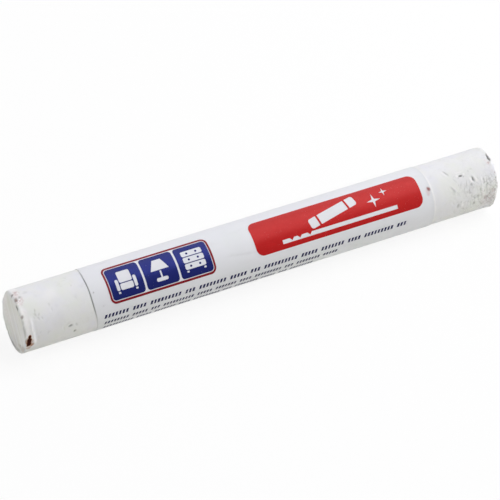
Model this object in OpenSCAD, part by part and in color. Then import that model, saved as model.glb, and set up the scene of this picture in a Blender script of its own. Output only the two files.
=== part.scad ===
// Furniture repair wax stick: a cast stick of hard filler wax with a printed, self-adhesive label
// wrapped round its middle. Lengths are in millimetres and angles in degrees.
// +X runs along the stick towards its right-hand end and +Z is up. The origin is on the surface
// that the stick lies on, below its middle. Angles round the stick start at the front (-Y) and
// go over the top.

/* [Stick] */
// Length of the cast wax, between the middles of its two end faces
stick_len = 107.0; // [90:0.1:140]
// Diameter of the bare wax
stick_d = 12.6; // [9:0.1:20]
// Radius that wear has given the left-hand rim
left_rim_r = 0.35; // [0.1:0.05:1]
// Radius that wear has given the right-hand rim, which has been rubbed more
right_rim_r = 1.0; // [0.5:0.1:3]
// Angle by which both end faces are cut out of square
end_tilt = 2.8; // [0:0.1:6]
// Place round the stick where both end faces reach furthest to the right
end_lean_angle = 131; // [0:1:359]

/* [Label] */
// Length of the label along the stick
label_len = 76.2; // [60:0.1:88]
// How far the middle of the label lies to the right of the middle of the stick
label_shift = -0.4; // [-2:0.1:2]
// Thickness of the label's film
label_t = 0.07; // [0.04:0.01:0.2]
// Thickness of the adhesive under it
glue_t = 0.03; // [0.02:0.01:0.1]
// How far the label's last edge laps over its first, round the stick
lap_len = 4.2; // [2:0.1:8]
// Place of the middle of the lap, round the stick
lap_angle = 221; // [200:1:240]

/* [Print] */
// Thickness of a printed layer, drawn thicker than real ink so that it stays a sound solid
ink_t = 0.03; // [0.02:0.01:0.06]
// Width of the line round the badge
keyline_w = 0.4; // [0.15:0.05:0.5]
// Bare label between that line and the badge's tiles
keyline_gap = 0.15; // [0.1:0.05:0.5]
// Bare label between two tiles
tile_gap = 0.45; // [0.2:0.05:1]
// Radius of the badge's outer corners
badge_corner_r = 1.2; // [0.8:0.1:2]
// Radius of the banner's corners
banner_corner_r = 1.6; // [0.5:0.1:2.5]
// Height of the first row of small marks
mark_h = 1.0; // [0.6:0.05:1.2]

/* [Hidden] */
$fn = 96;

// Radii from the wax outwards
stick_r = stick_d / 2;
glue_r = stick_r + glue_t;
label_r = glue_r + label_t;
lap_r = label_r + glue_t;
lap_outer_r = lap_r + label_t;

// The stick lies on its label, so the label's radius sets the height of the axis
axis_z = label_r;
overrun = stick_d;

// A rim's rounding is cut as flats, as a worn edge has, with this many to a full circle
rim_facets = 12;

// The lap seen square on, and the step where it rises over the label's first edge
lap_w = chord(lap_len);
lap_step_w = label_t + glue_t;

// The print follows the label: places and lengths along it are shares of its length
badge_start_share = 0.0459;
badge_len_share = 0.3015;
badge_angle = 54;
badge_span_angle = 72;
badge_len = label_len * badge_len_share;
badge_w = span_w(badge_span_angle);

tile_count = 3;
tile_inset = keyline_w + keyline_gap;
tile_corner_r = badge_corner_r - tile_inset;
tile_pitch = (badge_len - 2 * tile_inset + tile_gap) / tile_count;
tile_len = tile_pitch - tile_gap;
tile_w = badge_w - 2 * tile_inset;

// The pictograms' blocks are [left, low, length, height] as shares of the pictogram's size
icon_size_share = 0.7;
icon_size = tile_w * icon_size_share;
icon_corner_share = 0.07;
corner_flat_count = 4;
feet_shares = [[0.03, 0, 0.11, 0.08], [0.86, 0, 0.11, 0.08]];
armchair_shares = [[0.19, 0.45, 0.62, 0.53], [0.19, 0.12, 0.62, 0.29], [0, 0.12, 0.15, 0.52],
                   [0.85, 0.12, 0.15, 0.52]];
lamp_shade_shares = [[0.3, 1], [0.7, 1], [0.94, 0.5], [0.06, 0.5]];
lamp_stem_shares = [[0.46, 0.12, 0.08, 0.34]];
lamp_base_shares = [[0.22, 0, 0.56, 0.16]];
drawer_shares = [0, 0.12, 1, 0.26];
drawer_pitch_share = 0.3;
drawer_count = 3;
knob_place_shares = [0.28, 0.72];
knob_r_share = 0.05;

banner_start_share = 0.468;
banner_len_share = 0.5025;
banner_angle = 55.7;
banner_span_angle = 67.8;
banner_len = label_len * banner_len_share;
banner_w = span_w(banner_span_angle);

// The banner's picture is a wax stick drawn along a scored board, in shares of the banner's width
board_shares = [-1.85, -0.37, 3.7, 0.11];
notch_place_shares = [-0.98, -1.3, -1.55];
notch_corner_shares = [[0.07, 0], [0, -0.07], [-0.07, 0]];
crayon_len_share = 1.6;
crayon_w_share = 0.3;
crayon_place_shares = [-0.12, 0.09];
crayon_band_shares = [-0.5, 0.5];
crayon_band_w_share = 0.06;
crayon_angle = 12;
spark_place_shares = [[1.2, 0.06], [1.58, 0.24]];
spark_size_shares = [0.22, 0.14];
spark_waist_share = 0.26;
spark_point_count = 4;

// Rows of small marks: bars stand for groups of marks, with their lengths in shares of the row's height
row_start_share = 0.0262;
row_len_shares = [0.887, 0.678, 0.609];
row_h_shares = [1, 0.85, 0.85];
row_angles = [-1.2, -17.7, -33.7];
group_len_shares = [5.2, 3.1, 7.4, 2.2, 6.3, 4.1, 1.6, 8.2, 3.6];
group_gap_share = 0.75;
row_first_group = [0, 4, 7];

// Width, seen square on, of a strip that goes arc_len or span degrees round the label
function chord(arc_len) = span_w(arc_len / label_r * 180 / PI);
function span_w(span) = 2 * label_r * sin(span / 2);

// Starts of the groups in a row, up to its end: each entry is [start, length]
function group_len(i) = group_len_shares[i % len(group_len_shares)];
function groups(row_len, i, start = 0) =
    start + group_len(i) > row_len
    ? []
    : concat([[start, group_len(i)]], groups(row_len, i + 1, start + group_len(i) + group_gap_share));

// Outline of a rectangle about its middle, with a few flats round each corner
function rounded_outline(half_size, corner_r) = [
    for (corner = [0:3], flat = [0:corner_flat_count])
        let (turn = 90 * (corner + flat / corner_flat_count),
             corner_x = corner == 0 || corner == 3 ? 1 : -1,
             corner_y = corner < 2 ? 1 : -1)
        [corner_x * (half_size.x - corner_r) + corner_r * cos(turn),
         corner_y * (half_size.y - corner_r) + corner_r * sin(turn)]
];

// Places children at a share of the label's length from its left-hand edge, in the stick's own axes
module at_label(share) {
    translate([label_shift + label_len * (share - 1 / 2), 0, 0]) children();
}

// Lifts what is drawn about the stick's axis to where the stick lies
module lying() {
    translate([0, 0, axis_z]) children();
}

// Turns a flat outline to face outwards at an angle round the stick, and carries it out past the label
module facing(angle) {
    rotate([90 - angle, 0, 0]) linear_extrude(lap_outer_r + overrun) children();
}

// Sleeve round the stick's axis, as long as the label
module sleeve(inner_r, outer_r) {
    translate([label_shift, 0, 0]) rotate([0, 90, 0]) difference() {
        cylinder(h = label_len, r = outer_r, center = true);
        cylinder(h = label_len + overrun, r = inner_r, center = true);
    }
}

// The part of a sleeve that lies over a flat outline seen square on from an angle
module patch(angle, inner_r, outer_r) {
    intersection() {
        sleeve(inner_r, outer_r);
        facing(angle) children();
    }
}

// Printed layer over a flat outline
module ink(angle) {
    lying() patch(angle, label_r, label_r + ink_t) children();
}

// Strip across the lap, from one place round the stick to another, both from its middle
module lap_strip(from_w, to_w) {
    translate([label_shift - label_len, from_w]) square([2 * label_len, to_w - from_w]);
}

module rounded_rect(size, corner_r) {
    square([size.x - 2 * corner_r, size.y], center = true);
    square([size.x, size.y - 2 * corner_r], center = true);
    for (sx = [-1, 1], sy = [-1, 1])
        translate([sx * (size.x / 2 - corner_r), sy * (size.y / 2 - corner_r)]) circle(corner_r);
}

module blocks(shares, size) {
    for (block = shares)
        translate([block[0], block[1]] * size) square([block[2], block[3]] * size);
}

// Blocks with rounded corners, which are too small to show that each is a few flats
module rounded_blocks(shares, size, corner_r) {
    for (block = shares)
        translate([block[0] + block[2] / 2, block[1] + block[3] / 2] * size)
            polygon(rounded_outline([block[2], block[3]] * size / 2, corner_r));
}

// Everything beyond an end face, and round its rim, in axes with +Z out of the face
module end_waste(rim_r) {
    // The tilt shifts the rounding sideways, so it starts far enough out to cut no ledge in the wax
    clear_r = stick_r / cos(end_tilt) + 2 * rim_r * sin(end_tilt);
    rotate_extrude() difference() {
        union() {
            square([stick_d, overrun]);
            translate([clear_r - rim_r, -rim_r]) square([stick_d, overrun]);
        }
        translate([clear_r - rim_r, -rim_r]) circle(rim_r, $fn = rim_facets);
    }
}

// Tips an end's axes by the tilt, with the face reaching furthest right at end_lean_angle
module tilted_end(side) {
    translate([side * stick_len / 2, 0, 0])
        rotate([90 - end_lean_angle, 0, 0])
            rotate([0, side * 90 + end_tilt, 0])
                children();
}

module wax_stick() {
    color("#e9e9e4") lying() difference() {
        rotate([0, 90, 0]) cylinder(h = stick_len + overrun, r = stick_r, center = true);
        tilted_end(-1) end_waste(left_rim_r);
        tilted_end(1) end_waste(right_rim_r);
    }
}

module label_adhesive() {
    color("#d8d4c4") lying() {
        sleeve(stick_r, glue_r);
        patch(lap_angle, label_r, lap_r) lap_strip(-lap_w / 2, lap_w / 2);
    }
}

module label_wrap() {
    color("#edeef3") lying() {
        sleeve(glue_r, label_r);
        patch(lap_angle, lap_r, lap_outer_r) lap_strip(-lap_w / 2 - lap_step_w, lap_w / 2);
        patch(lap_angle, label_r - label_t / 2, lap_outer_r)
            lap_strip(-lap_w / 2 - lap_step_w, -lap_w / 2);
    }
}

module armchair_icon() {
    rounded_blocks(armchair_shares, icon_size, icon_corner_share * icon_size);
    blocks(feet_shares, icon_size);
}

module lamp_icon() {
    polygon(lamp_shade_shares * icon_size);
    blocks(lamp_stem_shares, icon_size);
    rounded_blocks(lamp_base_shares, icon_size, icon_corner_share * icon_size);
}

module chest_icon() {
    for (i = [0:drawer_count - 1])
        translate([0, i * drawer_pitch_share * icon_size]) difference() {
            rounded_blocks([drawer_shares], icon_size, icon_corner_share * icon_size);
            for (place = knob_place_shares)
                translate([place, drawer_shares[1] + drawer_shares[3] / 2] * icon_size)
                    circle(knob_r_share * icon_size);
        }
    blocks(feet_shares, icon_size);
}

// Places children in the middle of one of the badge's tiles
module at_tile(i) {
    at_label(badge_start_share + badge_len_share / 2)
        translate([(i - (tile_count - 1) / 2) * tile_pitch, 0]) children();
}

// Pictograms of furniture, one to a tile, are left bare in the ink
module badge_tiles() {
    color("#1d2570") difference() {
        ink(badge_angle) for (i = [0:tile_count - 1])
            at_tile(i) rounded_rect([tile_len, tile_w], tile_corner_r);
        lying() facing(badge_angle) for (i = [0:tile_count - 1])
            at_tile(i) translate([-icon_size / 2, -icon_size / 2]) {
                if (i % 3 == 0) armchair_icon();
                if (i % 3 == 1) lamp_icon();
                if (i % 3 == 2) chest_icon();
            }
    }
}

module badge_keyline() {
    color("#a51f2d") ink(badge_angle) at_label(badge_start_share + badge_len_share / 2) difference() {
        rounded_rect([badge_len, badge_w], badge_corner_r);
        rounded_rect([badge_len - 2 * keyline_w, badge_w - 2 * keyline_w], badge_corner_r - keyline_w);
    }
}

// Board with notches scored in its top edge, drawn round from its top left-hand corner
module scored_board() {
    left = board_shares[0];
    low = board_shares[1];
    right = left + board_shares[2];
    top = low + board_shares[3];
    polygon(banner_w * concat(
        [[left, top], [left, low], [right, low], [right, top]],
        [for (place = notch_place_shares, corner = notch_corner_shares) [place, top] + corner]));
}

// Crayon with a gap at each edge of its label, tilted to the board
module crayon() {
    translate(crayon_place_shares * banner_w) rotate(crayon_angle) difference() {
        rounded_rect([crayon_len_share, crayon_w_share] * banner_w, crayon_w_share * banner_w / 4);
        for (place = crayon_band_shares)
            translate([place * banner_w, 0])
                square([crayon_band_w_share * banner_w, 2 * crayon_w_share * banner_w], center = true);
    }
}

// Star with spark_point_count points
module spark(size) {
    step = 180 / spark_point_count;
    polygon([for (i = [0:2 * spark_point_count - 1])
        let (r = i % 2 == 0 ? size : size * spark_waist_share)
        [r * sin(i * step), r * cos(i * step)]]);
}

module banner_panel() {
    color("#c41d24") difference() {
        ink(banner_angle) at_label(banner_start_share + banner_len_share / 2)
            rounded_rect([banner_len, banner_w], banner_corner_r);
        lying() facing(banner_angle) at_label(banner_start_share + banner_len_share / 2) {
            scored_board();
            crayon();
            for (i = [0:len(spark_place_shares) - 1])
                translate(spark_place_shares[i] * banner_w) spark(spark_size_shares[i] * banner_w);
        }
    }
}

module small_print() {
    color("#2b2d55") for (row = [0:len(row_angles) - 1]) {
        row_h = mark_h * row_h_shares[row];
        row_len = label_len * row_len_shares[row] / row_h;
        ink(row_angles[row]) at_label(row_start_share)
            for (group = groups(row_len, row_first_group[row]))
                translate([group[0], -1 / 2] * row_h) square([group[1], 1] * row_h);
    }
}

wax_stick();
label_adhesive();
label_wrap();
badge_tiles();
badge_keyline();
banner_panel();
small_print();
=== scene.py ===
"""Looks of a furniture repair wax stick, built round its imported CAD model.

The wax and the label's film are meshes made here, with their dents, worn rims and stains. The
printed panels are the CAD model's own solids. Lengths are in metres unless a name says otherwise,
and angles round the stick, called turns, are degrees from the front (-Y) going over the top.
"""

import math
from collections import namedtuple

import bpy
import numpy as np
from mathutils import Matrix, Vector


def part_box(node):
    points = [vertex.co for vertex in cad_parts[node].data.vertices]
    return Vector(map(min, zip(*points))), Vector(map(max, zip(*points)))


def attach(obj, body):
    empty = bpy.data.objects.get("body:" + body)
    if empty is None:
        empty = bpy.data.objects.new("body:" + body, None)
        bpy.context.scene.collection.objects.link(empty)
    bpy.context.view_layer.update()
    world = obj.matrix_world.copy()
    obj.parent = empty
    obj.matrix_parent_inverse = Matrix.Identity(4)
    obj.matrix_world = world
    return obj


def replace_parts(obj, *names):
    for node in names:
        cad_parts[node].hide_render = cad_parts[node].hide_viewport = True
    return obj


MM = 0.001

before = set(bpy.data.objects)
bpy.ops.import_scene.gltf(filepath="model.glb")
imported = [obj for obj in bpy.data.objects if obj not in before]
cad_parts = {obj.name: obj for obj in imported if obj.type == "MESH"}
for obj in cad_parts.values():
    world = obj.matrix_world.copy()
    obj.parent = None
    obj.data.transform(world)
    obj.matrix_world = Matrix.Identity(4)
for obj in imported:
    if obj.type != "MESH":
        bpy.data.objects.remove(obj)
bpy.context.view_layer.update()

# Sizes read from the CAD model
wax_low, wax_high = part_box("wax_stick")
film_low, film_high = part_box("label_wrap")
AXIS_Z = (wax_low.z + wax_high.z) / 2
WAX_R = (wax_high.z - wax_low.z) / 2
FILM_R = AXIS_Z - film_low.z
FILM_LEFT = film_low.x
FILM_RIGHT = film_high.x

# Sizes that the CAD model's boxes don't give, as its source has them
STICK_LEN = 107.0 * MM
FILM_T = 0.07 * MM
GLUE_T = 0.03 * MM
LEFT_RIM_R = 0.35 * MM
RIGHT_RIM_R = 1.0 * MM
END_TILT = math.radians(2.8)
END_LEAN_TURN = 131
LAP_TURN = 221
LAP_SPAN = 37.6

# How finely the wax is cut. Rows are fine at both ends and a little way under the film, and a fan
# closes the small hole in the middle of each face.
WAX_COLUMNS = 300
FINE_STEP = 0.14 * MM
COARSE_STEP = 3 * MM
FINE_UNDER_FILM = 1 * MM
FACE_RINGS = 34
FACE_HOLE_R = 0.02 * WAX_R
FEWEST_RIM_STEPS = 4

# How finely the film and its adhesive are cut: degrees, and rows from each edge inward
WRAP_STEP = 1.5
WRAP_EDGE_ROWS_MM = [0, 0.08, 0.16, 0.25, 0.35, 0.5, 0.65, 0.8, 1, 1.2, 1.5, 1.8, 2.2, 2.6]
WRAP_EDGE_LEN = 3 * MM
WRAP_MIDDLE_ROWS = 60

# The photograph's camera, from a fit to the stick's outline
VIEW_AZIMUTH = -26.725
VIEW_ELEVATION = 38.097
VIEW_DISTANCE = 0.5226
VIEW_TARGET = Vector((-0.00158, 0.0002, 0.00597))
LENS_MM = 185.5

FLOOR_SIZE = 4.0
FLOOR_COLOUR = (0.87, 0.86, 0.8)
FLOOR_GLOW_SHARE = 0.88
WORLD_STRENGTH = 0.02

# Softboxes: name, place, size, colour, and power in watts. Each faces the stick.
LAMPS = [
    ("overhead_softbox", (0.45, -0.08, 0.68), (0.7, 0.7), (0.985, 0.985, 1.0), 5.1),
    ("back_softbox", (0.2, 0.6, 0.55), (0.9, 0.9), (0.985, 0.985, 1.0), 2.9),
    ("right_fill", (0.65, -0.5, 0.3), (0.5, 0.5), (1.0, 1.0, 1.0), 2.1),
    ("left_fill", (-0.8, -0.1, 0.35), (0.5, 0.5), (1.0, 1.0, 0.985), 2.5),
]

WAX_COLOURS = {
    "dull": (0.852, 0.855, 0.86),
    "bright": (0.875, 0.876, 0.886),
    "greenish": (0.85, 0.87, 0.82),
    "bluish": (0.845, 0.845, 0.91),
    "blade_streak": (0.69, 0.66, 0.58),
    "handled": (0.62, 0.61, 0.57),
    "fresh_and_highlight": (0.965, 0.955, 0.965),
    "pink": (0.46, 0.25, 0.24),
    "dirt": (0.1, 0.095, 0.09),
    "crack": (0.3, 0.29, 0.27),
    "flake": (0.94, 0.935, 0.94),
    "rust": (0.42, 0.2, 0.1),
    "smear": (0.045, 0.009, 0.006),
}
FILM_COLOURS = {
    "dull": (0.828, 0.838, 0.878),
    "bright": (0.848, 0.854, 0.892),
    "greenish": (0.825, 0.85, 0.85),
    "bluish": (0.835, 0.83, 0.885),
    "scuff": (0.66, 0.65, 0.66),
    "edge": (0.5, 0.49, 0.48),
    "pink": (0.6, 0.3, 0.3),
    "dirt": (0.12, 0.1, 0.1),
    "rust": (0.3, 0.06, 0.05),
}
GLUE_COLOURS = {"dull": (0.62, 0.58, 0.46), "bright": (0.7, 0.67, 0.58)}

# A printed ink: its colour, the lighter colour of its mottle, how strongly it shines, and the colour
# of its shine, which for a full layer of ink is its own
Ink = namedtuple("Ink", "name colour light gloss sheen")
NAVY_INK = Ink("navy_ink", (0.001, 0.003, 0.05), (0.002, 0.006, 0.066), 0.56, (0.18, 0.22, 1))
RED_INK = Ink("red_ink", (0.42, 0.002, 0.003), (0.475, 0.004, 0.005), 0.5, (1, 0.26, 0.25))
KEYLINE_INK = Ink("keyline_ink", (0.22, 0.008, 0.016), (0.27, 0.014, 0.022), 0.1, (1, 1, 1))
SMALL_PRINT_INK = Ink("small_print_ink", (0.012, 0.013, 0.075), (0.018, 0.02, 0.09), 0.1, (1, 1, 1))
PINHOLE_COLOUR = (0.75, 0.74, 0.78)

# Ranges of a noise texture that hold most of its values, and nearly all of them
MOST_NOISE = (0.35, 0.65)
ALL_NOISE = (0.3, 0.7)
# How many times finer than its cells the wandering of a net of cracks is
CRACK_DRIFT = 1.5

# How far the film's edges lie off where the CAD model has them, because it was wrapped a little
# askew. The left edge also dips inward at the upper front. The film's rows follow an edge less and
# less up to ASKEW_EASE from it.
LEFT_ASKEW = 0.29 * MM
LEFT_ASKEW_TURN = 56
LEFT_DIP = 0.14 * MM
LEFT_DIP_TURN = 57
LEFT_DIP_SPREAD = 20
RIGHT_ASKEW = 0.06 * MM
ASKEW_EASE = 12 * MM

# How strongly the film's left edge shows, from 0 to 1, and where it shows most
FAINTEST_EDGE = 0.06
STRONGEST_EDGE = 0.82
EDGE_SHOWS_TURN = 50
EDGE_SHOWS_SPREAD = 47

# How high the film's left edge curls where it shows fully, how far in, and the right edge's share
FILM_CURL = 0.05 * MM
CURL_LEN = 0.35 * MM
RIGHT_CURL_SHARE = 0.5

# Half of the degrees in which the wrap climbs onto its own start
LAP_CLIMB = 2.5
# How far the adhesive stops short of the film's edges
GLUE_INSET = 0.2 * MM

# The wax along the film's edges: a groove at the left, darkened with painted shade, and a lip at the right,
# lightened with painted highlight.
# From COVERED_FROM inward, under the film, it has neither.
GROOVE_X = -0.08 * MM
GROOVE_WIDTH = 0.13 * MM
GROOVE_DEPTH = 0.16 * MM
GROOVE_SHADE = 0.6
LIP_X = 0.22 * MM
LIP_WIDTH = 0.16 * MM
LIP_HEIGHT = 0.08 * MM
LIP_TURN = 38
LIP_SPREAD = 40
COVERED_FROM = 0.3 * MM

# How far the bare wax at the left stands out past its nominal size
SWOLLEN = 0.05 * MM
# How far from each end its tilt reaches, and how far inside its rim a face is fully uneven
TILT_REACH = 10 * MM
FACE_EASE = 1 * MM
# A place past the reach of any mark
FAR_OFF = 1

# Unevenness from noise: how high it is, the size of its features, its seed, and its layers
Relief = namedtuple("Relief", "height feature seed layers")
WAVES = Relief(0.02 * MM, 7 * MM, 31, 1)
GRAIN = Relief(0.006 * MM, 0.9 * MM, 41, 3)
LEFT_CRUMBLE = Relief(0.09 * MM, 1.3 * MM, 21, 3)
RIGHT_CRUMBLE = LEFT_CRUMBLE._replace(height=0.16 * MM)
WORN_LUMPS = Relief(0.07 * MM, 0.8 * MM, 51, 4)
WORN_CHIPS = Relief(0.3 * MM, 0.7 * MM, 56, 3)
BLADE_STREAKS = Relief(0.014 * MM, 0.9 * MM, 61, 2)
FACE_WAVES = Relief(0.03 * MM, 2.5 * MM, 66, 3)

# Cells each way in the lattice that noise is drawn on, before it repeats
NOISE_CELLS = 32

# Noise above these levels leaves a crumbled rim whole, and makes a chip in the worn end
CRUMBLE_LEVEL = 0.25
CHIP_LEVEL = 0.4
# How far from its corner a rim crumbles, and how dirty a chip in the worn end is
CRUMBLE_REACH = 0.9 * MM
CHIP_DIRT = 0.26

# The right end is worn rough: fully up to one distance from its corner and not at all past another,
# and fully only within some degrees of its front
WORN_FULL_TO = 3.325 * MM
WORN_GONE_BY = 12.825 * MM
WORN_TURN = -2
WORN_FULL_SPREAD = 36
WORN_WHOLE_SPREAD = 50
WORN_ELSEWHERE = 0.2

# How far noise pushes the marks' outlines about, so that none is a neat oval
RAGGED_ALONG = Relief(0.07 * MM, 0.45 * MM, 71, 1)
RAGGED_ROUND = RAGGED_ALONG._replace(seed=72)
# How high the lip round a dent is, and how sharp the edge of a tint is
DENT_LIP = 0.7
TINT_SHARPNESS = 1.2

# Rows of small marks: where each starts, how far it runs, its turn, and the height of its marks
ROW_START = 2.0 * MM
ROW_LENS = [67.6 * MM, 51.7 * MM, 46.4 * MM]
ROW_TURNS = [-1.2, -17.7, -33.7]
ROW_HEIGHTS = [1.0 * MM, 0.85 * MM, 0.85 * MM]
# How many strokes the groups have, one after another, and which of them each row starts with
GROUP_STROKES = [7, 4, 9, 3, 8, 5, 3, 10, 5]
FIRST_GROUPS = [0, 4, 7]
FEWEST_STROKES = 3
STROKE_SEED = 17
# A stroke's half thickness, its slant, and its other sizes as shares of its row's height
STROKE_T = 0.025 * MM
STROKE_SLANT = 0.3
STROKE_HALF_HEIGHT_SHARE = 0.44
STROKE_PITCH_SHARE = 0.76
STROKE_WIDTH_SHARES = (0.42, 0.5)
GROUP_GAP_SHARE = 0.75

# A dent, scratch or stain in the wax. along is its distance from the end's corner, positive on the
# side and negative on the face. heading is the way its long axis runs, from straight inward along
# the stick, away from that end, towards the top. depth is how high it stands, so a dent's is
# negative. The tints run from 0 to 1; the dark tint is partly painted shade and the pale one partly painted
# highlight. Lengths are in millimetres.
Mark = namedtuple("Mark", "along turn long wide heading depth dirt brown pink pale")
TINTS = ("dirt", "brown", "pink", "pale")


def mark(along, turn, long, wide, heading=0, depth=0, dirt=0, brown=0, pink=0, pale=0):
    """A Mark, with what it leaves out at nothing."""
    return Mark(along, turn, long, wide, heading, depth, dirt, brown, pink, pale)


LEFT_MARKS = [
    # Dark smear of another stick's wax on the rim, with a rusty fringe below it
    mark(1.0, 6, 0.5, 0.34, 84, 0.03, brown=1),
    mark(0.9, -1, 0.7, 0.5, 92, 0.05, brown=1),
    mark(0.82, -8, 0.8, 0.56, 90, 0.05, brown=1),
    mark(0.65, -11, 0.6, 0.3, 75, 0.04, brown=1),
    mark(0.5, 1, 0.6, 0.28, 90, 0, dirt=0.34, brown=0.18),
    mark(1.35, -13, 0.7, 0.5, 70, 0.02, brown=0.4),
    mark(0.8, -21, 0.7, 0.6, 40, brown=0.28),
    mark(1.5, -4, 0.6, 0.3, 80, brown=0.26),
    mark(0.2, -2, 0.7, 0.24, 90, brown=0.36),
    # Pale, pinkish chipped band with pits on the rim's upper front
    mark(0.05, 96, 0.55, 0.34, 20, -0.14, dirt=0.6, pink=0.4),
    mark(0.28, 80.5, 0.52, 0.44, 70, -0.13, dirt=0.7, brown=0.22),
    mark(1.2, 83.5, 0.4, 0.28, 30, -0.1, dirt=0.4, pink=0.3),
    mark(0.8, 77, 1.3, 0.9, 80, -0.03, pink=0.5, pale=1),
    mark(0.8, 97, 1.2, 0.8, 80, -0.03, pink=0.54, pale=1),
    mark(1.0, 116, 1.8, 0.9, 90, 0, pale=0.9),
    mark(-0.35, 65, 0.75, 0.4, 96, -0.1, dirt=0.85),
    mark(0.25, 45.4, 0.45, 0.34, 60, -0.13, dirt=0.45, pink=0.5),
    mark(0.0, 34.6, 0.7, 0.36, 80, -0.1, dirt=0.18),
    # Thin dark lines along the rim's corner, two of them in shallow grooves: painted shade under the rim's
    # edge
    mark(0.1, 20, 1.6, 0.2, 92, -0.09, dirt=0.24),
    mark(0.05, 0, 1.2, 0.2, 92, -0.05, dirt=0.16),
    mark(-0.05, 18, 1.7, 0.15, 91, 0, dirt=0.36),
    mark(-0.2, 54, 1.4, 0.14, 92, 0, dirt=0.2),
    mark(0.05, 60, 1.6, 0.5, 90, 0.16),
    mark(0.1, 12, 1.2, 0.45, 90, -0.13),
    # Fresher wax where the rim has been rubbed down, up to a ridge. Their pale tint is partly painted
    # highlight on the band and mostly painted highlight on the ridge
    mark(0.9, 52, 1.2, 0.7, 88, -0.03, pink=0.06, pale=0.8),
    mark(0.95, 34, 1.3, 0.8, 88, -0.03, pink=0.05, pale=1),
    mark(1.1, 17, 1.3, 0.75, 88, -0.02, pink=0.03, pale=1),
    mark(1.6, 2, 1.1, 0.5, 88, 0, pale=1),
    mark(1.65, 32, 0.8, 0.24, 92, 0.17, pale=1),
    mark(1.6, 20, 0.9, 0.26, 88, 0.25, pale=1),
    mark(1.8, 6, 0.9, 0.28, 86, 0.26, pale=1),
    mark(2.0, -6, 0.8, 0.26, 90, 0.2, pale=1),
    mark(2.35, 14, 2.0, 0.3, 90, -0.04, dirt=0.03),
    # Dents
    mark(2.95, 49, 0.42, 0.2, 80, -0.14, dirt=0.14),
    mark(2.8, 43, 0.48, 0.22, 120, -0.14, dirt=0.14),
    mark(2.4, 39, 0.4, 0.18, 100, -0.1),
    mark(3.3, 35, 0.48, 0.18, 125, -0.12, dirt=0.12),
    mark(4.0, 34, 0.4, 0.18, 110, -0.1, dirt=0.06),
    mark(6.1, 53, 0.38, 0.2, 80, -0.08, dirt=0.06),
    mark(6.3, 43, 0.44, 0.2, 80, -0.07),
    mark(8.6, 8, 0.95, 0.15, 20, -0.09, dirt=0.05),
    mark(8.05, 1, 0.6, 0.15, 100, -0.08, dirt=0.04),
    mark(9.45, 3.3, 0.5, 0.26, 10, -0.16, dirt=0.64),
    mark(10.6, 2.5, 0.4, 0.22, 120, -0.12, dirt=0.12),
    mark(10.3, -12, 0.36, 0.28, 60, -0.15, dirt=0.6),
    mark(10.9, 92, 0.5, 0.14, 0, -0.06, dirt=0.05),
    mark(9.6, 86, 0.6, 0.12, 10, -0.05, dirt=0.05),
    mark(7.0, 72, 1.6, 1.2, 30, 0, pale=0.4),
    mark(7.5, 20, 2.0, 1.4, 60, 0, dirt=0.04),
    # The face is darker towards its bottom and along its lower rim: painted shade, with a brownish tinge
    mark(-0.4, -32, 1.7, 0.8, 90, 0, dirt=0.25, brown=0.19),
    mark(-1.4, -42, 1.8, 0.7, 70, 0, dirt=0.18, brown=0.16),
    mark(-0.7, -64, 2.0, 0.45, 90, 0, dirt=0.36),
    mark(-0.8, -92, 2.2, 0.42, 90, 0, dirt=0.5),
    mark(-0.75, -122, 1.8, 0.36, 90, 0, dirt=0.24),
    mark(0, -148, 1.4, 0.6, 90, 0.12),
    mark(-1.5, -36, 0.3, 0.2, 20, -0.08, dirt=0.5),
    mark(-3.2, -50, 1.8, 1.0, 120, 0, dirt=0.1),
    mark(-2.0, -62, 3.6, 1.9, 90, 0, dirt=0.08),
    mark(-1.6, -90, 2.6, 1.5, 90, 0, dirt=0.08),
    # It is fresher towards its top, where its rim is rubbed flat at the back
    mark(-1.2, 150, 2.4, 1.2, 90, 0, pink=0.1, pale=0.6),
    mark(-3.4, 180, 4.2, 2.6, 90, 0, pink=0.12, pale=0.5),
    mark(-0.1, 150, 2.8, 0.8, 90, -0.18),
]

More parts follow.
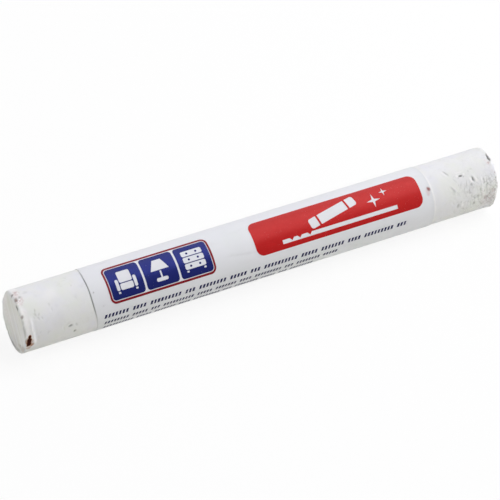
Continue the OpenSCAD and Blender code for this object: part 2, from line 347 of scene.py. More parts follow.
RIGHT_MARKS = [
    # Dark chip along the upper rim, with a little foreign wax below it
    mark(0.4, 79.5, 0.75, 0.42, 95, -0.2, dirt=1),
    mark(0.55, 72.5, 0.8, 0.42, 88, -0.2, dirt=1),
    mark(1.15, 63.5, 0.5, 0.4, 0, -0.07, pink=0.5, pale=0.5),
    mark(1.5, 70, 0.5, 0.3, 60, 0.03, pink=0.25, pale=0.8),
    mark(0.45, 43, 0.34, 0.2, 90, -0.1, dirt=0.3, pink=0.6),
    mark(0.4, 33, 0.28, 0.18, 90, -0.12, dirt=0.8),
    mark(0.45, 26, 0.34, 0.16, 90, -0.12, dirt=0.7),
    mark(0.5, 15, 0.3, 0.18, 90, -0.1, dirt=0.3),
    mark(0.7, -19, 0.42, 0.26, 100, -0.14, dirt=0.5, pink=0.3),
    # Fleck in a shallow crater, whose raised rim is lightened with painted highlight
    mark(8.3, 55.5, 0.42, 0.22, 0, -0.18, dirt=1),
    mark(8.9, 53, 0.24, 0.12, 20, -0.05, dirt=0.35),
    mark(7.7, 53, 0.24, 0.12, 160, -0.05, dirt=0.35),
    mark(8.4, 62.5, 0.8, 0.16, 5, 0.07, pale=1),
    mark(9.1, 56, 0.34, 0.24, 60, 0.06, pale=1),
    mark(7.5, 56, 0.34, 0.24, 120, 0.06, pale=1),
    mark(8.3, 59, 0.5, 0.3, 0, -0.05),
    # Gouge with thrown-up edges, lightened with painted highlight
    mark(5.85, 43, 0.72, 0.18, 74, -0.26, dirt=0.6),
    mark(6.4, 42, 0.75, 0.24, 72, 0.12, pale=1),
    mark(5.3, 42.5, 0.8, 0.26, 66, 0.13, pale=1),
    mark(6.5, 33.5, 0.36, 0.26, 90, -0.15, dirt=0.36),
    mark(4.8, 42, 0.3, 0.14, 70, -0.07, dirt=0.1),
    # Slanting scratches, their raised sides lightened with painted highlight
    mark(11.1, 69, 0.85, 0.2, 60, -0.12, dirt=0.34),
    mark(11.5, 67, 0.9, 0.24, 60, 0.05, pale=0.8),
    mark(10.95, 77, 0.3, 0.16, 80, -0.07),
    mark(11.0, 35, 0.85, 0.28, 55, -0.12, dirt=0.1),
    mark(10.5, 34, 0.75, 0.24, 55, 0.08, pale=0.8),
    # Chattered band between the gouge and the scratches
    mark(7.6, 37, 0.95, 0.13, 112, -0.13, dirt=0.2),
    mark(7.2, 23, 0.8, 0.13, 95, -0.13, dirt=0.2),
    mark(9.0, 37, 0.9, 0.12, 118, -0.1, dirt=0.14),
    mark(9.9, 50, 0.7, 0.12, 60, -0.08, dirt=0.1),
    mark(8.3, 28, 0.9, 0.12, 104, -0.09, dirt=0.12),
    mark(6.6, 25, 0.4, 0.16, 80, -0.08, dirt=0.1),
    mark(8.2, 36, 0.4, 0.2, 60, -0.06),
    mark(7.0, 38, 0.35, 0.15, 95, -0.08),
    # Crease round the worn end, its raised ridges lightened with painted highlight
    mark(3.95, 35, 1.0, 0.2, 92, 0.12, pale=1),
    mark(4.1, 16, 1.4, 0.22, 90, 0.12, pale=1),
    mark(3.5, 33, 0.8, 0.22, 86, -0.11, dirt=0.14),
    mark(2.9, 33, 1.0, 0.22, 100, -0.1, dirt=0.08),
    mark(2.2, 30, 1.0, 0.22, 85, -0.1, dirt=0.08),
    mark(3.2, 16, 1.2, 0.3, 80, -0.09, dirt=0.1),
    # Rougher, pinkish wax below it
    mark(2.7, -8, 1.9, 1.6, 50, -0.05, dirt=0.03, pink=0.38),
    mark(1.4, 2, 1.2, 0.9, 90, -0.04, pink=0.4),
    mark(3.6, -1.5, 0.5, 0.36, 60, -0.11, dirt=0.1, pink=0.3),
    mark(2.0, -12, 0.4, 0.25, 60, -0.12, dirt=0.1, pink=0.2),
    mark(1.3, -9, 0.36, 0.25, 110, -0.12, dirt=0.1, pink=0.2),
    mark(5.3, 7, 0.42, 0.36, 50, -0.15, dirt=0.26),
    mark(6.2, 5.5, 0.3, 0.2, 40, -0.12, dirt=0.2),
    mark(6.25, -6, 0.48, 0.3, 100, -0.16, dirt=0.34),
    mark(8.7, 2, 0.9, 0.14, 165, -0.08, dirt=0.12),
    mark(7.4, 18, 0.9, 0.13, 175, -0.06),
    mark(10.1, -2, 0.6, 0.34, 100, -0.16, dirt=0.34),
    mark(9.2, -2, 0.8, 0.22, 92, 0.11, pale=1),
    mark(8.6, -3, 0.5, 0.16, 92, -0.06),
    mark(14.0, -22, 0.4, 0.24, 90, -0.06, dirt=0.08),
    # The rim is less worn on both sides of the chip and at the bottom
    mark(0, 104, 2.4, 0.8, 90, 0.26),
    mark(0, 54, 2.6, 0.8, 90, 0.26),
    mark(0, -22, 1.6, 0.8, 90, -0.1),
    mark(0.12, -54, 2.2, 0.85, 90, 0.33),
]

# Smudges on the film, measured from its left or right edge
FILM_LEFT_MARKS = [
    mark(0.63, 49.6, 0.2, 0.16, dirt=0.5),
    mark(1.9, 22, 0.3, 0.2, 40, dirt=0.14),
    mark(5.2, 110, 1.2, 0.2, 5, dirt=0.12),
    mark(2.6, 236, 0.8, 0.4, 30, dirt=0.16),
    # Faint crease between the badge and the banner, drawn as painted shade only
    mark(32.2, 36.6, 3.2, 0.22, -8, dirt=0.09),
    mark(30.6, 40, 0.9, 0.3, 0, dirt=0.07),
    mark(34.3, 34.6, 0.8, 0.3, 0, dirt=0.08),
]
FILM_RIGHT_MARKS = [
    mark(0.42, 49.8, 0.5, 0.36, 60, dirt=0.3, brown=0.85),
    mark(0.75, 45, 0.7, 0.5, 80, pink=0.5),
    mark(0.85, 40, 0.4, 0.3, 80, pink=0.6),
    mark(0.7, 190, 0.7, 0.3, 80, dirt=0.2),
]

# Small dings strewn over an end: the ranges that they are drawn from, how dirty the deepest are, and
# how much they crowd towards the corner
DING_LENGTHS = (0.2, 0.6)
DING_WIDTH_SHARES = (0.3, 0.7)
DING_DEPTH_SHARES = (0.3, 1)
DING_DIRT = 0.27
DING_CROWDING = 1.6


def dings(seed, count, reach, middle, spread, deepest):
    """Dings up to a reach in millimetres from the corner, strewn about a middle turn."""
    rng = np.random.default_rng(seed)
    made = []
    for _ in range(count):
        along = reach * rng.random() ** DING_CROWDING
        turn = rng.normal(middle, spread)
        long = rng.uniform(*DING_LENGTHS)
        depth_share = rng.uniform(*DING_DEPTH_SHARES)
        wide = long * rng.uniform(*DING_WIDTH_SHARES)
        heading = rng.uniform(0, 180)
        dirt = DING_DIRT * depth_share * rng.random() ** 2
        made.append(mark(along, turn, long, wide, heading, -deepest * depth_share, dirt))
    return made


LEFT_MARKS += dings(seed=3, count=30, reach=13, middle=250, spread=70, deepest=0.07)
LEFT_MARKS += dings(seed=4, count=14, reach=13, middle=60, spread=40, deepest=0.04)
RIGHT_MARKS += dings(seed=5, count=110, reach=12, middle=0, spread=32, deepest=0.1)
RIGHT_MARKS += dings(seed=8, count=60, reach=13, middle=220, spread=70, deepest=0.09)


def lattice_noise(points, feature, seed):
    """Smooth noise from about -1 to 1 at an array of points, with features of the given size."""
    table = np.random.default_rng(seed).uniform(-1, 1, (NOISE_CELLS,) * 3)
    place = points / feature
    base = np.floor(place).astype(int)
    part = place - base
    part = part * part * (3 - 2 * part)
    total = 0
    for corner in np.ndindex(2, 2, 2):
        weight = np.prod(np.where(corner, part, 1 - part), axis=-1)
        i, j, k = np.moveaxis((base + corner) % NOISE_CELLS, -1, 0)
        total = total + weight * table[i, j, k]
    return total


def noise_for(relief, points):
    """A relief's noise, before its height: each layer is half the size and strength of the last."""
    return sum(lattice_noise(points, relief.feature / 2 ** i, relief.seed + i) / 2 ** i
               for i in range(relief.layers))


def turned_apart(turn, middle):
    """Degrees from middle to turn, the short way round."""
    return (turn - middle + 180) % 360 - 180


def lay_marks(marks, along, turn):
    """The height in metres and the tints of a set of marks, over a grid of places."""
    found = {name: np.zeros(np.broadcast(along, turn).shape) for name in ("depth",) + TINTS}
    flat = np.stack(np.broadcast_arrays(along, np.radians(turn) * WAX_R, 0.0), axis=-1)
    along = along + RAGGED_ALONG.height * noise_for(RAGGED_ALONG, flat)
    turn = turn + np.degrees(RAGGED_ROUND.height / WAX_R) * noise_for(RAGGED_ROUND, flat)
    for m in marks:
        heading = math.radians(m.heading)
        a = along / MM - m.along
        b = np.radians(turned_apart(turn, m.turn)) * WAX_R / MM
        lengthwise = (a * math.cos(heading) + b * math.sin(heading)) / m.long
        across = (b * math.cos(heading) - a * math.sin(heading)) / m.wide
        q = lengthwise ** 2 + across ** 2
        # A dent throws up a low lip round itself, and a lump doesn't
        shape = np.exp(-q) * (1 - DENT_LIP * q if m.depth < 0 else 1)
        found["depth"] += m.depth * MM * shape
        for name in TINTS:
            found[name] = np.maximum(found[name], getattr(m, name) * np.exp(-q ** 2 * TINT_SHARPNESS))
    return found


def grid_mesh(name, points, closed_round, closed_along=False):
    """A mesh from a grid of points, rows by columns, which can be closed either way."""
    rows, columns = points.shape[:2]
    across = columns if closed_round else columns - 1
    down = rows if closed_along else rows - 1
    i, j = np.meshgrid(np.arange(down), np.arange(across), indexing="ij")
    i2, j2 = (i + 1) % rows, (j + 1) % columns
    quads = np.stack([i * columns + j, i2 * columns + j, i2 * columns + j2, i * columns + j2], axis=-1)
    mesh = bpy.data.meshes.new(name)
    mesh.from_pydata(points.reshape(-1, 3).tolist(), [], quads.reshape(-1, 4).tolist())
    return mesh


def piece(name, mesh, material):
    """An object for a mesh, smooth, with its material, riding on the stick's one body."""
    mesh.polygons.foreach_set("use_smooth", np.ones(len(mesh.polygons), bool))
    mesh.update()
    made = bpy.data.objects.new(name, mesh)
    bpy.context.scene.collection.objects.link(made)
    made.data.materials.append(material)
    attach(made, "root")
    return made


def paint(mesh, name, values):
    """Stores one number for each vertex, for the material to read."""
    layer = mesh.attributes.new(name, "FLOAT", "POINT")
    layer.data.foreach_set("value", np.asarray(values, np.float32).ravel())


def on_stick(x, radius, turn):
    """Points at arrays of places along the stick, radii and turns, in the row frame."""
    angle = np.radians(turn)
    x, radius, angle = np.broadcast_arrays(x, radius, angle)
    return np.stack([x, -radius * np.cos(angle), AXIS_Z + radius * np.sin(angle)], axis=-1)


def wax_profile():
    """The wax's outline from the middle of its left face to the middle of its right one.

    Each row is x, radius, the outline's outward direction (x and radial), and the distance from the
    nearer end's corner, which is negative on the face."""
    left = end_profile(-1, LEFT_RIM_R, FILM_LEFT)
    right = end_profile(1, RIGHT_RIM_R, FILM_RIGHT)[::-1]
    start, stop = left[-1][0], right[0][0]
    count = int((stop - start) / COARSE_STEP)
    middle = [(x, WAX_R, 0, 1, STICK_LEN / 2 - abs(x)) for x in np.linspace(start, stop, count + 2)[1:-1]]
    return np.array(left + middle + right)


def end_profile(side, rim_r, film_edge):
    """The rows of the profile for one end: its face, its rim, and its bare side to under the film."""
    corner = side * STICK_LEN / 2
    face_r = WAX_R - rim_r
    rows = [(corner, r, side, 0, r - WAX_R)
            for r in np.linspace(FACE_HOLE_R, face_r, FACE_RINGS, endpoint=False)]
    steps = max(FEWEST_RIM_STEPS, round(rim_r * math.pi / 2 / FINE_STEP))
    for k in range(steps + 1):
        a = math.pi / 2 * k / steps
        rows.append((corner - side * rim_r * (1 - math.cos(a)), face_r + rim_r * math.sin(a),
                     side * math.cos(a), math.sin(a), rim_r * (2 * k / steps - 1)))
    bare = abs(corner - film_edge)
    for s in np.arange(rim_r + FINE_STEP, bare + FINE_UNDER_FILM, FINE_STEP):
        rows.append((corner - side * s, WAX_R, 0, 1, s))
    return rows


def label_edge_offset(turn, left):
    """How far along the stick the film's edge lies from where the CAD model has it."""
    if left:
        askew = -LEFT_ASKEW * np.cos(np.radians(2 * (turn - LEFT_ASKEW_TURN)))
        return askew + LEFT_DIP * np.exp(-(turned_apart(turn, LEFT_DIP_TURN) / LEFT_DIP_SPREAD) ** 2)
    return RIGHT_ASKEW * np.sin(np.radians(2 * turn))


def edge_fade(turn):
    """How strongly the film's left edge shows: most at the upper front, hardly at the bottom."""
    share = np.exp(-(turned_apart(turn, EDGE_SHOWS_TURN) / EDGE_SHOWS_SPREAD) ** 4)
    return FAINTEST_EDGE + (STRONGEST_EDGE - FAINTEST_EDGE) * share


def cast_relief(points, along, is_left):
    """How far cast wax stands off its true shape: broad waves, finer grain, and crumbled rims."""
    near_rim = np.exp(-(along / CRUMBLE_REACH) ** 2)
    rim_depth = np.where(is_left, LEFT_CRUMBLE.height, RIGHT_CRUMBLE.height)
    crumble = np.minimum(noise_for(LEFT_CRUMBLE, points), CRUMBLE_LEVEL) - CRUMBLE_LEVEL
    waves = WAVES.height * noise_for(WAVES, points)
    grain = GRAIN.height * noise_for(GRAIN, points)
    return near_rim * rim_depth * crumble + waves + grain


def worn_share(along, turn, is_left):
    """How worn the wax is, from 0 to 1."""
    apart = abs(turned_apart(turn, WORN_TURN))
    front = np.clip((WORN_WHOLE_SPREAD - apart) / (WORN_WHOLE_SPREAD - WORN_FULL_SPREAD), 0, 1)
    near = np.clip((WORN_GONE_BY - along) / (WORN_GONE_BY - WORN_FULL_TO), 0, 1)
    return near * (WORN_ELSEWHERE + (1 - WORN_ELSEWHERE) * front) * ~is_left


def blade_streaks(points):
    """Noise in bands across the faces, which keep the marks of the blade that cut them."""
    lean = math.radians(END_LEAN_TURN)
    across = points[..., 1] * math.sin(lean) + (points[..., 2] - AXIS_Z) * math.cos(lean)
    return noise_for(BLADE_STREAKS, np.stack([across, across * 0, points[..., 0]], axis=-1))


def make_wax(material):
    """The cast stick, with worn rims, dents and stains, closed at both faces."""
    profile = wax_profile()
    x, r, out_x, out_r, along = (profile[:, i:i + 1] for i in range(5))
    turn = np.arange(WAX_COLUMNS)[None, :] * 360 / WAX_COLUMNS
    points = on_stick(x, r, turn)
    is_left = x < 0
    left = lay_marks(LEFT_MARKS, np.where(is_left, along, FAR_OFF), turn)
    right = lay_marks(RIGHT_MARKS, np.where(is_left, FAR_OFF, along), turn)
    found = {name: np.where(is_left, left[name], right[name]) for name in left}

    worn = worn_share(along, turn, is_left)
    lumps = WORN_LUMPS.height * noise_for(WORN_LUMPS, points)
    chips = np.clip(noise_for(WORN_CHIPS, points) - CHIP_LEVEL, 0, 1)
    on_face = np.clip(-along / FACE_EASE, 0, 1)
    streaks = blade_streaks(points)
    face_waves = FACE_WAVES.height * noise_for(FACE_WAVES, points)

    from_left_edge = x - FILM_LEFT - label_edge_offset(turn, True)
    from_right_edge = x - FILM_RIGHT - label_edge_offset(turn, False)
    groove = np.exp(-((from_left_edge - GROOVE_X) / GROOVE_WIDTH) ** 2) * edge_fade(turn)
    lip = np.exp(-((from_right_edge - LIP_X) / LIP_WIDTH) ** 2)
    lip = lip * np.exp(-(turned_apart(turn, LIP_TURN) / LIP_SPREAD) ** 4)

    depth = found["depth"] + cast_relief(points, along, is_left)
    depth = depth + worn * (lumps - WORN_CHIPS.height * chips)
    depth = depth + on_face * (BLADE_STREAKS.height * streaks + face_waves)
    depth = depth + SWOLLEN * is_left - GROOVE_DEPTH * groove + LIP_HEIGHT * lip
    # Under the film the wax stays at its true size, so that nothing shows through
    under = (from_left_edge > COVERED_FROM) & (from_right_edge < -COVERED_FROM)
    depth = np.where(under, 0, depth)

    direction = np.stack(np.broadcast_arrays(out_x, -out_r * np.cos(np.radians(turn)),
                                             out_r * np.sin(np.radians(turn))), axis=-1)
    points = points + depth[..., None] * direction

    # Both ends are cut out of square, leaning the same way
    near_end = np.clip(1 - (STICK_LEN / 2 - abs(x)) / TILT_REACH, 0, 1) ** 2
    reach = r * np.cos(np.radians(turn - END_LEAN_TURN))
    points[..., 0] += near_end * math.tan(END_TILT) * reach

    mesh = grid_mesh("wax_stick_body", points, closed_round=True)
    close_faces(mesh, len(profile), WAX_COLUMNS)
    painted = {
        # The dark tint holds the marks' dirt and painted shade, painted shade in the groove along the
        # film's left edge, and dirt in the worn end's chips. The pale tint holds fresh wax and painted
        # highlight, and painted highlight on the lip along the film's right edge.
        "dirt": np.maximum(found["dirt"], np.maximum(GROOVE_SHADE * groove, CHIP_DIRT * worn * chips)),
        "brown": found["brown"],
        "pink": found["pink"],
        "pale": np.maximum(found["pale"], lip),
        "worn": worn,
        "streaks": 1 - np.clip(0.5 + 0.5 * streaks, 0, 1) * on_face,
    }
    for name, values in painted.items():
        # The two middles of the faces come last, and have none
        paint(mesh, name, np.append(np.broadcast_to(values, points.shape[:2]), [0, 0]))
    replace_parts(piece("wax_stick_body", mesh, material), "wax_stick")


def close_faces(mesh, rows, columns):
    """Closes the small holes in the middles of both faces with a fan each."""
    count = rows * columns
    points = np.zeros(count * 3)
    mesh.vertices.foreach_get("co", points)
    points = points.reshape(rows, columns, 3)
    faces = [tuple(p.vertices) for p in mesh.polygons]
    middles = [points[0].mean(axis=0), points[-1].mean(axis=0)]
    last = (rows - 1) * columns
    for j in range(columns):
        j2 = (j + 1) % columns
        faces.append((j, j2, count))
        faces.append((last + j2, last + j, count + 1))
    mesh.clear_geometry()
    mesh.from_pydata(points.reshape(-1, 3).tolist() + [list(m) for m in middles], [], faces)


def make_wrap(name, inner_r, thickness, inset, curl, material, node):
    """A strip wrapped once round the stick and lapped over its own start: the film, or its adhesive.

    inset is how far it stops short of the film's edges, and curl how high its left edge can curl."""
    start = LAP_TURN - LAP_SPAN / 2
    path = np.append(np.arange(0, 360 + LAP_SPAN, WRAP_STEP), 360 + LAP_SPAN)
    turn = (start + path)[None, :]
    rise = np.clip((path - 360 + 2 * LAP_CLIMB) / (2 * LAP_CLIMB), 0, 1)
    rise = (rise * rise * (3 - 2 * rise))[None, :]
    radius = inner_r + rise * (FILM_T + GLUE_T)

    # Rows bunch up at both edges, where the film curls and wanders
    edge_rows = np.array(WRAP_EDGE_ROWS_MM) * MM
    length = FILM_RIGHT - FILM_LEFT
    middle_rows = np.linspace(WRAP_EDGE_LEN, length - WRAP_EDGE_LEN, WRAP_MIDDLE_ROWS)
    s = np.concatenate([edge_rows, middle_rows, length - edge_rows[::-1]])[:, None]
    from_left = np.exp(-s / CURL_LEN)
    from_right = np.exp(-(length - s) / CURL_LEN)
    ease_left = np.clip(1 - s / ASKEW_EASE, 0, 1)
    ease_right = np.clip(1 - (length - s) / ASKEW_EASE, 0, 1)
    x = FILM_LEFT + s + ease_left * (label_edge_offset(turn, True) + inset)
    x = x + ease_right * (label_edge_offset(turn, False) - inset)
    radius = radius + curl * (edge_fade(turn) - FAINTEST_EDGE) * (from_left + RIGHT_CURL_SHARE * from_right)
    inner = on_stick(x, radius, turn)
    outer = on_stick(x, radius + thickness, turn)

    # Round the strip: outer side there, inner side back, so that every edge is closed
    loop = np.concatenate([outer, inner[::-1]], axis=0)
    mesh = grid_mesh(name, loop, closed_round=False, closed_along=True)
    close_strip_ends(mesh, len(s), len(path))
    both_sides = np.r_[0:len(s), len(s) - 1:-1:-1]
    near_edge = np.broadcast_to(np.maximum(from_left, from_right), (len(s), len(path)))
    paint(mesh, "edge", near_edge[both_sides])
    left = lay_marks(FILM_LEFT_MARKS, s, turn)
    right = lay_marks(FILM_RIGHT_MARKS, length - s, turn)
    for tint in ("dirt", "brown", "pink"):
        paint(mesh, tint, np.maximum(left[tint], right[tint])[both_sides])
    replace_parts(piece(name, mesh, material), node)


def close_strip_ends(mesh, rows, columns):
    """Closes both ends of a wrapped strip, between its outer and inner sides."""
    points = np.zeros(len(mesh.vertices) * 3)
    mesh.vertices.foreach_get("co", points)
    faces = [tuple(p.vertices) for p in mesh.polygons]
    for i in range(rows - 1):
        outer, inner = i, 2 * rows - 1 - i
        for column, flip in ((0, True), (columns - 1, False)):
            quad = (outer * columns + column, (outer + 1) * columns + column,
                    (inner - 1) * columns + column, inner * columns + column)
            faces.append(quad[::-1] if flip else quad)
    mesh.clear_geometry()
    mesh.from_pydata(points.reshape(-1, 3).tolist(), [], faces)


def stroke_places(length, height, group):
    """Where a row's strokes are, from its start: groups of them, the last of which ends the row."""
    pitch = STROKE_PITCH_SHARE * height
    places = []
    s = 0
    room = round(length / pitch)
    while room >= FEWEST_STROKES:
        for _ in range(min(GROUP_STROKES[group], room)):
            places.append(s)
            s += pitch
        s += GROUP_GAP_SHARE * height
        room = int((length - s) / pitch)
        group = (group + 1) % len(GROUP_STROKES)
    return np.array(places) * (length - pitch / 2) / places[-1]


def make_small_print(material):
    """Three rows of short slanting strokes, all alike, in groups."""
    rng = np.random.default_rng(STROKE_SEED)
    points, faces = [], []
    for length, turn, height, group in zip(ROW_LENS, ROW_TURNS, ROW_HEIGHTS, FIRST_GROUPS):
        for s in stroke_places(length, height, group):
            width = height * rng.uniform(*STROKE_WIDTH_SHARES)
            add_stroke(points, faces, FILM_LEFT + ROW_START + s, turn, height, width)
    mesh = bpy.data.meshes.new("small_print_marks")
    mesh.from_pydata(points, [], faces)
    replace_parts(piece("small_print_marks", mesh, material), "small_print")


def add_stroke(points, faces, x, turn, height, width):
    """Adds a thin block to a mesh in the making: one slanting stroke on the film."""
    first = len(points)
    for radius in (FILM_R - STROKE_T, FILM_R + STROKE_T):
        for side, up in ((-1, -1), (1, -1), (1, 1), (-1, 1)):
            rise = up * STROKE_HALF_HEIGHT_SHARE * height
            run = side * width / 2 + STROKE_SLANT * rise
            points.append(on_stick(x + run, radius, turn + math.degrees(rise / FILM_R)).tolist())
    for quad in ((3, 2, 1, 0), (4, 5, 6, 7), (0, 1, 5, 4), (1, 2, 6, 5), (2, 3, 7, 6), (3, 0, 4, 7)):
        faces.append(tuple(first + k for k in quad))


class Nodes:
    """A material's node tree, with short ways to add to it."""

    def __init__(self, name):
        self.material = bpy.data.materials.new(name)
        self.material.use_nodes = True
        self.tree = self.material.node_tree
        self.shader = self.tree.nodes["Principled BSDF"]
        self.place = self.add("ShaderNodeTexCoord").outputs["Object"]

    def add(self, kind, **settings):
        """A node of a kind, with settings as its properties."""
        made = self.tree.nodes.new(kind)
        for key, value in settings.items():
            setattr(made, key, value)
        return made

    def link(self, source, target):
        """Joins an output to an input."""
        self.tree.links.new(source, target)

    def noise(self, feature, detail=3.0, roughness=0.55, stretch=(1, 1, 1)):
        """Noise with features of a size in metres, drawn out along the axes by stretch."""
        scale = self.add("ShaderNodeMapping")
        scale.inputs["Scale"].default_value = stretch
        self.link(self.place, scale.inputs["Vector"])
        made = self.add("ShaderNodeTexNoise")
        made.inputs["Scale"].default_value = 1 / feature
        made.inputs["Detail"].default_value = detail
        made.inputs["Roughness"].default_value = roughness
        self.link(scale.outputs["Vector"], made.inputs["Vector"])
        return made.outputs["Fac"]

    def remap(self, value, low, high, to_low=0.0, to_high=1.0):
        """Value from low to high, carried over to another range and held there."""
        made = self.add("ShaderNodeMapRange")
        for key, number in zip(("From Min", "From Max", "To Min", "To Max"), (low, high, to_low, to_high)):
            made.inputs[key].default_value = number
        self.link(value, made.inputs["Value"])
        return made.outputs["Result"]

    def cracks(self, feature, wander, width):
        """1 on a net of wandering cracks between cells of a size in metres, and 0 off it."""
        drift = self.add("ShaderNodeTexNoise")
        drift.inputs["Scale"].default_value = CRACK_DRIFT / feature
        self.link(self.place, drift.inputs["Vector"])
        moved = self.add("ShaderNodeVectorMath", operation="MULTIPLY_ADD")
        self.link(drift.outputs["Color"], moved.inputs[0])
        moved.inputs[1].default_value = (wander, wander, wander)
        self.link(self.place, moved.inputs[2])
        cells = self.add("ShaderNodeTexVoronoi", feature="DISTANCE_TO_EDGE")
        cells.inputs["Scale"].default_value = 1 / feature
        self.link(moved.outputs["Vector"], cells.inputs["Vector"])
        return self.remap(cells.outputs["Distance"], 0, width / feature, 1, 0)

    def painted(self, name):
        """A number stored on the mesh's vertices."""
        return self.add("ShaderNodeAttribute", attribute_name=name).outputs["Fac"]

    def mix(self, factor, a, b):
        """Colour a turned to colour b by a factor. Each is a colour or a socket."""
        made = self.add("ShaderNodeMix", data_type="RGBA")
        for socket, value in ((made.inputs["Factor"], factor), (made.inputs[6], a), (made.inputs[7], b)):
            if isinstance(value, bpy.types.NodeSocket):
                self.link(value, socket)
            elif isinstance(value, tuple):
                socket.default_value = (*value, 1)
            else:
                socket.default_value = value
        return made.outputs[2]

    def times(self, a, b):
        """The product of a socket and a socket or a number."""
        made = self.add("ShaderNodeMath", operation="MULTIPLY")
        self.link(a, made.inputs[0])
        if isinstance(b, bpy.types.NodeSocket):
            self.link(b, made.inputs[1])
        else:
            made.inputs[1].default_value = b
        return made.outputs["Value"]

    def bump(self, height, distance, after=None):
        """Bump from a height from 0 to 1, which stands for a distance in metres, on top of another."""
        made = self.add("ShaderNodeBump")
        made.inputs["Distance"].default_value = distance
        made.inputs["Strength"].default_value = 1
        self.link(height, made.inputs["Height"])
        if after is not None:
            self.link(after, made.inputs["Normal"])
        return made.outputs["Normal"]

    def film_ripple(self):
        """The long, shallow ripples of the film, which its print shares."""
        return self.bump(self.noise(3 * MM, detail=2, roughness=0.5, stretch=(0.3, 1, 1)), 0.02 * MM)

    def finish(self, colour, roughness, normal, **numbers):
        """Sets the shader: linked colour, roughness and normal, and numbers on its own sockets."""
        self.link(colour, self.shader.inputs["Base Color"])
        self.link(roughness, self.shader.inputs["Roughness"])
        self.link(normal, self.shader.inputs["Normal"])
        for key, value in numbers.items():
            self.shader.inputs[key.replace("_", " ")].default_value = value
        return self.material


def wax_material():
    """Hard, pigmented filler wax: off-white, faintly cloudy, dulled by handling and stained in places."""
    n = Nodes("filler_wax")
    c = WAX_COLOURS
    cloud = n.noise(9 * MM, detail=4)
    grain = n.noise(0.5 * MM, detail=4, roughness=0.65)
    tinge = n.noise(5 * MM)
    colour = n.mix(n.remap(cloud, *MOST_NOISE), c["dull"], c["bright"])
    colour = n.mix(n.remap(tinge, 0.5, 0.68, 0, 0.7), colour, c["greenish"])
    colour = n.mix(n.remap(tinge, 0.5, 0.32, 0, 0.7), colour, c["bluish"])
    streaked = n.mix(0.34, colour, c["blade_streak"])
    colour = n.mix(n.remap(n.painted("streaks"), 0.2, 0.8), streaked, colour)
    handled = n.remap(n.noise(1.6 * MM, detail=4, roughness=0.6), 0.56, 0.72, 0, 0.16)
    colour = n.mix(handled, colour, c["handled"])

    # Pale wax that is partly painted highlight on ridges, lips and rubbed places; pink; and the dark tint,
    # partly dirt and partly painted shade along edges, creases and the face's bottom
    colour = n.mix(n.painted("pale"), colour, c["fresh_and_highlight"])
    colour = n.mix(n.times(n.painted("pink"), n.remap(grain, 0.4, 0.6)), colour, c["pink"])
    colour = n.mix(n.times(n.painted("dirt"), 0.9), colour, c["dirt"])

    # The worn end is crazed and flaked in patches
    patchy = n.times(n.painted("worn"), n.remap(n.noise(2.2 * MM), 0.42, 0.6))
    crazed = n.times(n.cracks(1.1 * MM, wander=1.2 * MM, width=0.09 * MM), patchy)
    colour = n.mix(n.times(crazed, 0.42), colour, c["crack"])
    flaked = n.times(n.remap(n.noise(0.8 * MM), 0.54, 0.64), patchy)
    colour = n.mix(n.times(flaked, 0.6), colour, c["flake"])

    # A smear of another wax is rusty where it is thin and nearly black where it is thick
    smear = n.painted("brown")
    colour = n.mix(n.remap(smear, 0.12, 0.45), colour, c["rust"])
    colour = n.mix(n.remap(smear, 0.45, 0.75), colour, c["smear"])

    roughness = n.remap(grain, *ALL_NOISE, 0.48, 0.62)
    normal = n.bump(grain, 0.012 * MM)
    normal = n.bump(n.noise(0.12 * MM, detail=2), 0.004 * MM, after=normal)
    normal = n.bump(crazed, -0.05 * MM, after=normal)
    return n.finish(colour, roughness, normal, IOR=1.25, Specular_IOR_Level=0.12, Subsurface_Weight=0.18,
                    Subsurface_Radius=(1.0, 0.9, 0.75), Subsurface_Scale=0.9 * MM)


def film_material():
    """White label film: smooth, faintly blue, with a satin face and slightly darker edges."""
    n = Nodes("label_film")
    c = FILM_COLOURS
    cloud = n.noise(6 * MM)
    grain = n.noise(0.35 * MM)
    tinge = n.noise(8 * MM)
    colour = n.mix(n.remap(cloud, *MOST_NOISE), c["dull"], c["bright"])
    colour = n.mix(n.remap(tinge, 0.52, 0.7, 0, 0.6), colour, c["greenish"])
    colour = n.mix(n.remap(tinge, 0.48, 0.3, 0, 0.6), colour, c["bluish"])
    scuffs = n.noise(2.2 * MM, detail=5, roughness=0.7, stretch=(0.35, 1, 1))
    colour = n.mix(n.remap(scuffs, 0.58, 0.75, 0, 0.16), colour, c["scuff"])

    # Darker towards both edges; the dark tint is smudges in places and painted shade along the crease
    colour = n.mix(n.times(n.painted("edge"), 0.12), colour, c["edge"])
    colour = n.mix(n.times(n.painted("pink"), 0.6), colour, c["pink"])
    colour = n.mix(n.painted("dirt"), colour, c["dirt"])
    colour = n.mix(n.painted("brown"), colour, c["rust"])

    roughness = n.remap(grain, *ALL_NOISE, 0.34, 0.44)
    normal = n.bump(grain, 0.0015 * MM, after=n.film_ripple())
    return n.finish(colour, roughness, normal, IOR=1.3, Specular_IOR_Level=0.12)


def ink_material(ink):
    """Printed ink: its colour with a faint unevenness and pinholes, on the film's rippled face."""
    n = Nodes(ink.name)
    mottle = n.noise(0.8 * MM, detail=4, roughness=0.6)
    pinholes = n.noise(0.16 * MM, detail=1)
    colour = n.mix(n.remap(mottle, *MOST_NOISE, 0, 0.6), ink.colour, ink.light)
    colour = n.mix(n.remap(pinholes, 0.74, 0.8, 0, 0.35), colour, PINHOLE_COLOUR)
    roughness = n.remap(n.noise(1.4 * MM), *ALL_NOISE, 0.32, 0.41)
    return n.finish(colour, roughness, n.film_ripple(), IOR=1.6, Specular_IOR_Level=ink.gloss,
                    Specular_Tint=(*ink.sheen, 1))


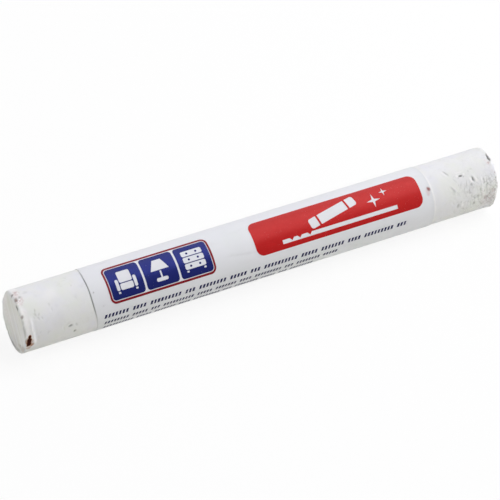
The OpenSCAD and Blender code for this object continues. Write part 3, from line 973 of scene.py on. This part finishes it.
def glue_material():
    """Clear adhesive, yellowed, of which only the edge shows."""
    n = Nodes("label_adhesive_edge")
    cloud = n.noise(1 * MM)
    colour = n.mix(cloud, GLUE_COLOURS["dull"], GLUE_COLOURS["bright"])
    roughness = n.remap(cloud, *ALL_NOISE, 0.4, 0.55)
    return n.finish(colour, roughness, n.bump(cloud, 0.01 * MM), IOR=1.47)


def dress_node(name, material):
    """Gives a CAD solid that shows as it is its finished material."""
    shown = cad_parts[name]
    shown.data.materials.clear()
    shown.data.materials.append(material)


def background_rays(tree):
    """1 for the rays that find the background white: the camera's, and those off metal or through glass."""
    path = tree.nodes.new("ShaderNodeLightPath")
    shows = path.outputs["Is Camera Ray"]
    for kind in ("Is Glossy Ray", "Is Transmission Ray"):
        either = tree.nodes.new("ShaderNodeMath")
        either.operation = "MAXIMUM"
        tree.links.new(shows, either.inputs[0])
        tree.links.new(path.outputs[kind], either.inputs[1])
        shows = either.outputs["Value"]
    return shows


def make_stage():
    """A white floor that keeps the stick's shadow, and white surroundings past its edge."""
    half = FLOOR_SIZE / 2
    corners = [(-half, -half, 0), (half, -half, 0), (half, half, 0), (-half, half, 0)]
    mesh = bpy.data.meshes.new("floor")
    mesh.from_pydata(corners, [], [(0, 1, 2, 3)])
    floor = bpy.data.objects.new("floor", mesh)
    bpy.context.scene.collection.objects.link(floor)

    material = bpy.data.materials.new("white_floor")
    material.use_nodes = True
    tree = material.node_tree
    lit = tree.nodes["Principled BSDF"]
    lit.inputs["Base Color"].default_value = (*FLOOR_COLOUR, 1)
    lit.inputs["Roughness"].default_value = 0.9
    lit.inputs["Specular IOR Level"].default_value = 0
    seen = tree.nodes.new("ShaderNodeBsdfDiffuse")
    seen.inputs["Color"].default_value = (1, 1, 1, 1)
    glow = tree.nodes.new("ShaderNodeEmission")
    soft = tree.nodes.new("ShaderNodeMixShader")
    soft.inputs["Fac"].default_value = FLOOR_GLOW_SHARE
    tree.links.new(seen.outputs[0], soft.inputs[1])
    tree.links.new(glow.outputs[0], soft.inputs[2])
    choose = tree.nodes.new("ShaderNodeMixShader")
    tree.links.new(background_rays(tree), choose.inputs["Fac"])
    tree.links.new(lit.outputs[0], choose.inputs[1])
    tree.links.new(soft.outputs[0], choose.inputs[2])
    tree.links.new(choose.outputs[0], tree.nodes["Material Output"].inputs["Surface"])
    floor.data.materials.append(material)

    world = bpy.data.worlds.new("studio")
    bpy.context.scene.world = world
    world.use_nodes = True
    tree = world.node_tree
    dim = tree.nodes["Background"]
    dim.inputs["Color"].default_value = (1, 1, 1, 1)
    dim.inputs["Strength"].default_value = WORLD_STRENGTH
    white = tree.nodes.new("ShaderNodeBackground")
    white.inputs["Color"].default_value = (1, 1, 1, 1)
    choose = tree.nodes.new("ShaderNodeMixShader")
    tree.links.new(background_rays(tree), choose.inputs["Fac"])
    tree.links.new(dim.outputs[0], choose.inputs[1])
    tree.links.new(white.outputs[0], choose.inputs[2])
    tree.links.new(choose.outputs[0], tree.nodes["World Output"].inputs["Surface"])


def make_lamps():
    """The softboxes, each turned to the middle of the stick."""
    for name, place, size, colour, power in LAMPS:
        data = bpy.data.lights.new(name, "AREA")
        data.shape = "RECTANGLE"
        data.size, data.size_y = size
        data.color = colour
        data.energy = power
        lamp = bpy.data.objects.new(name, data)
        bpy.context.scene.collection.objects.link(lamp)
        lamp.location = place
        lamp.rotation_mode = "QUATERNION"
        lamp.rotation_quaternion = (Vector((0, 0, AXIS_Z)) - Vector(place)).to_track_quat("-Z", "Y")


def make_camera():
    """A long lens at the photograph's angle."""
    data = bpy.data.cameras.new("camera")
    data.lens = LENS_MM
    data.clip_start, data.clip_end = 0.01, 10
    camera = bpy.data.objects.new("camera", data)
    bpy.context.scene.collection.objects.link(camera)
    azimuth, elevation = math.radians(VIEW_AZIMUTH), math.radians(VIEW_ELEVATION)
    back = Vector((math.sin(azimuth) * math.cos(elevation), -math.cos(azimuth) * math.cos(elevation),
                   math.sin(elevation)))
    camera.location = VIEW_TARGET + back * VIEW_DISTANCE
    camera.rotation_mode = "QUATERNION"
    camera.rotation_quaternion = (-back).to_track_quat("-Z", "Y")
    bpy.context.scene.camera = camera


bpy.context.scene.view_settings.view_transform = "Standard"
make_camera()
make_stage()
make_lamps()
make_wax(wax_material())
make_wrap("label_film", WAX_R + GLUE_T, FILM_T, inset=0, curl=FILM_CURL, material=film_material(),
          node="label_wrap")
make_wrap("label_adhesive_layer", WAX_R, GLUE_T, inset=GLUE_INSET, curl=0, material=glue_material(),
          node="label_adhesive")
dress_node("badge_tiles", ink_material(NAVY_INK))
dress_node("badge_keyline", ink_material(KEYLINE_INK))
dress_node("banner_panel", ink_material(RED_INK))
make_small_print(ink_material(SMALL_PRINT_INK))
